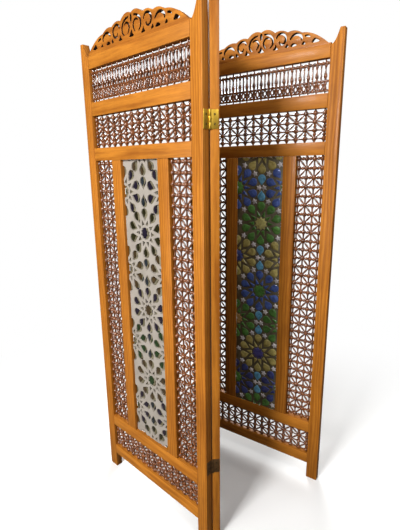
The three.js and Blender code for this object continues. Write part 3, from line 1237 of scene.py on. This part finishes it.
def screwTree():
    # Domed heads with a slot, on given points, each turned by its own amount.
    inputs = [("Geometry", "Geometry"), ("Radius", "Float"), ("Seed", "Int")]
    tree, given, out = shapeTree("screwHeads", inputs)
    radius = partial(mathNode, tree, "MULTIPLY", given["Radius"])
    ball = geo(tree, "MeshUVSphere", {"Segments": 20, "Rings": 12, "Radius": given["Radius"]})
    slot = geo(tree, "MeshCube", {"Size": vectorNode(tree, radius(0.7), radius(2.4), radius(0.26))})
    cut = addNode(tree, "GeometryNodeMeshBoolean", operation="DIFFERENCE", solver="MANIFOLD")
    tree.links.new(geo(tree, "Transform", {"Geometry": ball, "Scale": (0.28, 1, 1)}), cut.inputs["Mesh 1"])
    for sign in (-1, 1):
        move = vectorNode(tree, radius(0.52 * sign))
        tree.links.new(geo(tree, "Transform", {"Geometry": slot, "Translation": move}), cut.inputs["Mesh 2"])
    anyTurn = {"Min": 0.0, "Max": 3.1, "Seed": given["Seed"]}
    chance = addNode(tree, "FunctionNodeRandomValue", anyTurn, data_type="FLOAT").outputs
    turn = vectorNode(tree, x=next(made for made in chance if made.enabled))
    spread = instanceNode(tree, given["Geometry"], cut.outputs[0], turn)
    return closeTree(tree, given, out, [spread], upright=False)


def makeHinges():
    spots = {leaf: [] for leaf in leafTurns}
    for leaf, name, end, side, inside in hingeHalves:
        x = end * (halfLeaf + leafSizes["gap"] + hingeSizes["plate"] - hingeSizes["sunk"])
        y = side * (halfThick - hingeSizes["inset"] - hingeSizes["plateWidth"] / 2)
        for word, z in hingeSizes["heights"].items():
            # The low hinges take the darker brass.
            material = materials["brass" if word == "high" else "darkerBrass"]
            mesh = placed(hingeMesh(z, end, side, inside), leaf)
            finishPiece(f"{name}_{word}_metal", mesh, leaf, material, [f"{name}_{word}"])
            spots[leaf] += [(x, y, z + sign * hingeSizes["height"] / 4) for sign in (-1, 1)]
    tree = screwTree()
    for number, (leaf, points) in enumerate(spots.items()):
        start = bpy.data.meshes.new("screwSpots")
        start.from_pydata(points, [], [])
        sizes = {"radius": hingeSizes["screw"], "seed": number + 3, "material": materials["screw"]}
        mesh = grow(tree, sizes, start)
        smooth(mesh, 40)
        mesh.transform(leafPlaces[leaf])
        finishPiece(f"{leaf}_hinge_screws", mesh, leaf, materials["screw"])


makeHinges()
print("hinges fitted")


# Floor, light and camera

stageLook = {
    "floor": (0.9, 0.9, 0.89, 1),
    "floorBounce": (0.12, 0.11, 0.1, 1),
    "skyHigh": 0.32,
    "skyLow": 0.04,
    "fadeFrom": 0.7,
    "fadeTo": 1.9,
    # power, size, place and aim of each light
    "lights": {
        "key": (150, 0.8, (-1.9, -2.5, 2.7), (-0.05, 0, 1.05)),
        "side": (22, 1.0, (-1.9, -1.4, 0.9), (-0.3, 0, 0.5)),
        "fill": (17, 0.8, (1.05, -1.4, 2.7), (0.1, -0.1, 1.4)),
        "back": (130, 1.8, (0.5, 3.4, 2.6), (0, 0, 0.9)),
        "top": (12, 3.5, (0.3, 0.2, 4.2), (0.1, 0, 0)),
    },
}
cameraSetup = {
    "at": (-0.1132, -1.5134, 1.3679),
    "down": 13.485,
    "roll": -1.413,
    "lens": 26.945660,
    "shift": (0.034717, -0.011698),
}


def makeFloor():
    mesh = bpy.data.meshes.new("floor")
    mesh.from_pydata([(-30, -30, 0), (30, -30, 0), (30, 30, 0), (-30, 30, 0)], [], [(0, 1, 2, 3)])
    floor = showObject("floor", mesh)
    material, tree, shader, spot = newMaterial("paleFloor")
    black, white = (0, 0, 0, 1), (1, 1, 1, 1)
    # Away from the screen the floor turns plain white, so that it has no edge.
    reach = addNode(tree, "ShaderNodeVectorMath", {0: spot}, operation="LENGTH").outputs["Value"]
    span = {"Value": reach, "From Min": stageLook["fadeFrom"], "From Max": stageLook["fadeTo"]}
    fade = addNode(tree, "ShaderNodeMapRange", span, interpolation_type="SMOOTHSTEP").outputs["Result"]
    shown = addNode(tree, "ShaderNodeLightPath").outputs["Is Camera Ray"]
    pale = mixColours(tree, fade, stageLook["floor"], black)
    tree.links.new(mixColours(tree, shown, stageLook["floorBounce"], pale), shader["Base Color"])
    glow = mixColours(tree, mathNode(tree, "MULTIPLY", fade, shown), black, white)
    tree.links.new(glow, shader["Emission Color"])
    shader["Emission Strength"].default_value = 1.0
    shader["Roughness"].default_value = 0.8
    shader["Specular IOR Level"].default_value = 0.0
    mesh.materials.append(material)


def makeSky():
    # White behind the screen, and a softer light that is brightest overhead and in front.
    world = bpy.data.worlds.new("studio")
    bpy.context.scene.world = world
    world.use_nodes = True
    tree = world.node_tree
    spot = addNode(tree, "ShaderNodeTexCoord").outputs["Generated"]
    way = addNode(tree, "ShaderNodeSeparateXYZ", {0: spot}).outputs
    half = partial(mathNode, tree, "MULTIPLY")
    lift = mathNode(tree, "ADD", half(way["Z"], 0.5), half(way["Y"], -0.5))
    span = {"Value": lift, "From Min": -0.35, "From Max": 0.6}
    span.update({"To Min": stageLook["skyLow"], "To Max": stageLook["skyHigh"]})
    glow = addNode(tree, "ShaderNodeMapRange", span).outputs["Result"]
    shown = addNode(tree, "ShaderNodeLightPath").outputs["Is Camera Ray"]
    mixed = addNode(tree, "ShaderNodeMix", {"Factor": shown, "A": glow, "B": 1.0}, data_type="FLOAT")
    sky = tree.nodes["Background"].inputs
    tree.links.new(mixed.outputs["Result"], sky["Strength"])
    sky["Color"].default_value = (1, 1, 1, 1)


def addLight(name, power, size, at, target):
    data = bpy.data.lights.new(name, "AREA")
    data.energy, data.size = power, size
    light = showObject(name, data)
    aim = Matrix.Translation(at).to_translation() - Matrix.Translation(target).to_translation()
    light.location, light.rotation_euler = at, aim.to_track_quat("Z", "Y").to_euler()


def makeCamera():
    data = bpy.data.cameras.new("camera")
    data.lens, data.sensor_width = cameraSetup["lens"], 36
    data.shift_x, data.shift_y = cameraSetup["shift"]
    camera = showObject("camera", data)
    tilt = Matrix.Rotation(math.radians(90 - cameraSetup["down"]), 4, "X")
    roll = Matrix.Rotation(math.radians(cameraSetup["roll"]), 4, "Z")
    camera.matrix_world = Matrix.Translation(cameraSetup["at"]) @ tilt @ roll
    bpy.context.scene.camera = camera


makeFloor()
makeSky()
for lightName, lightSetup in stageLook["lights"].items():
    addLight(lightName, *lightSetup)
makeCamera()
bpy.context.scene.view_settings.view_transform = "Standard"
print("stage set")
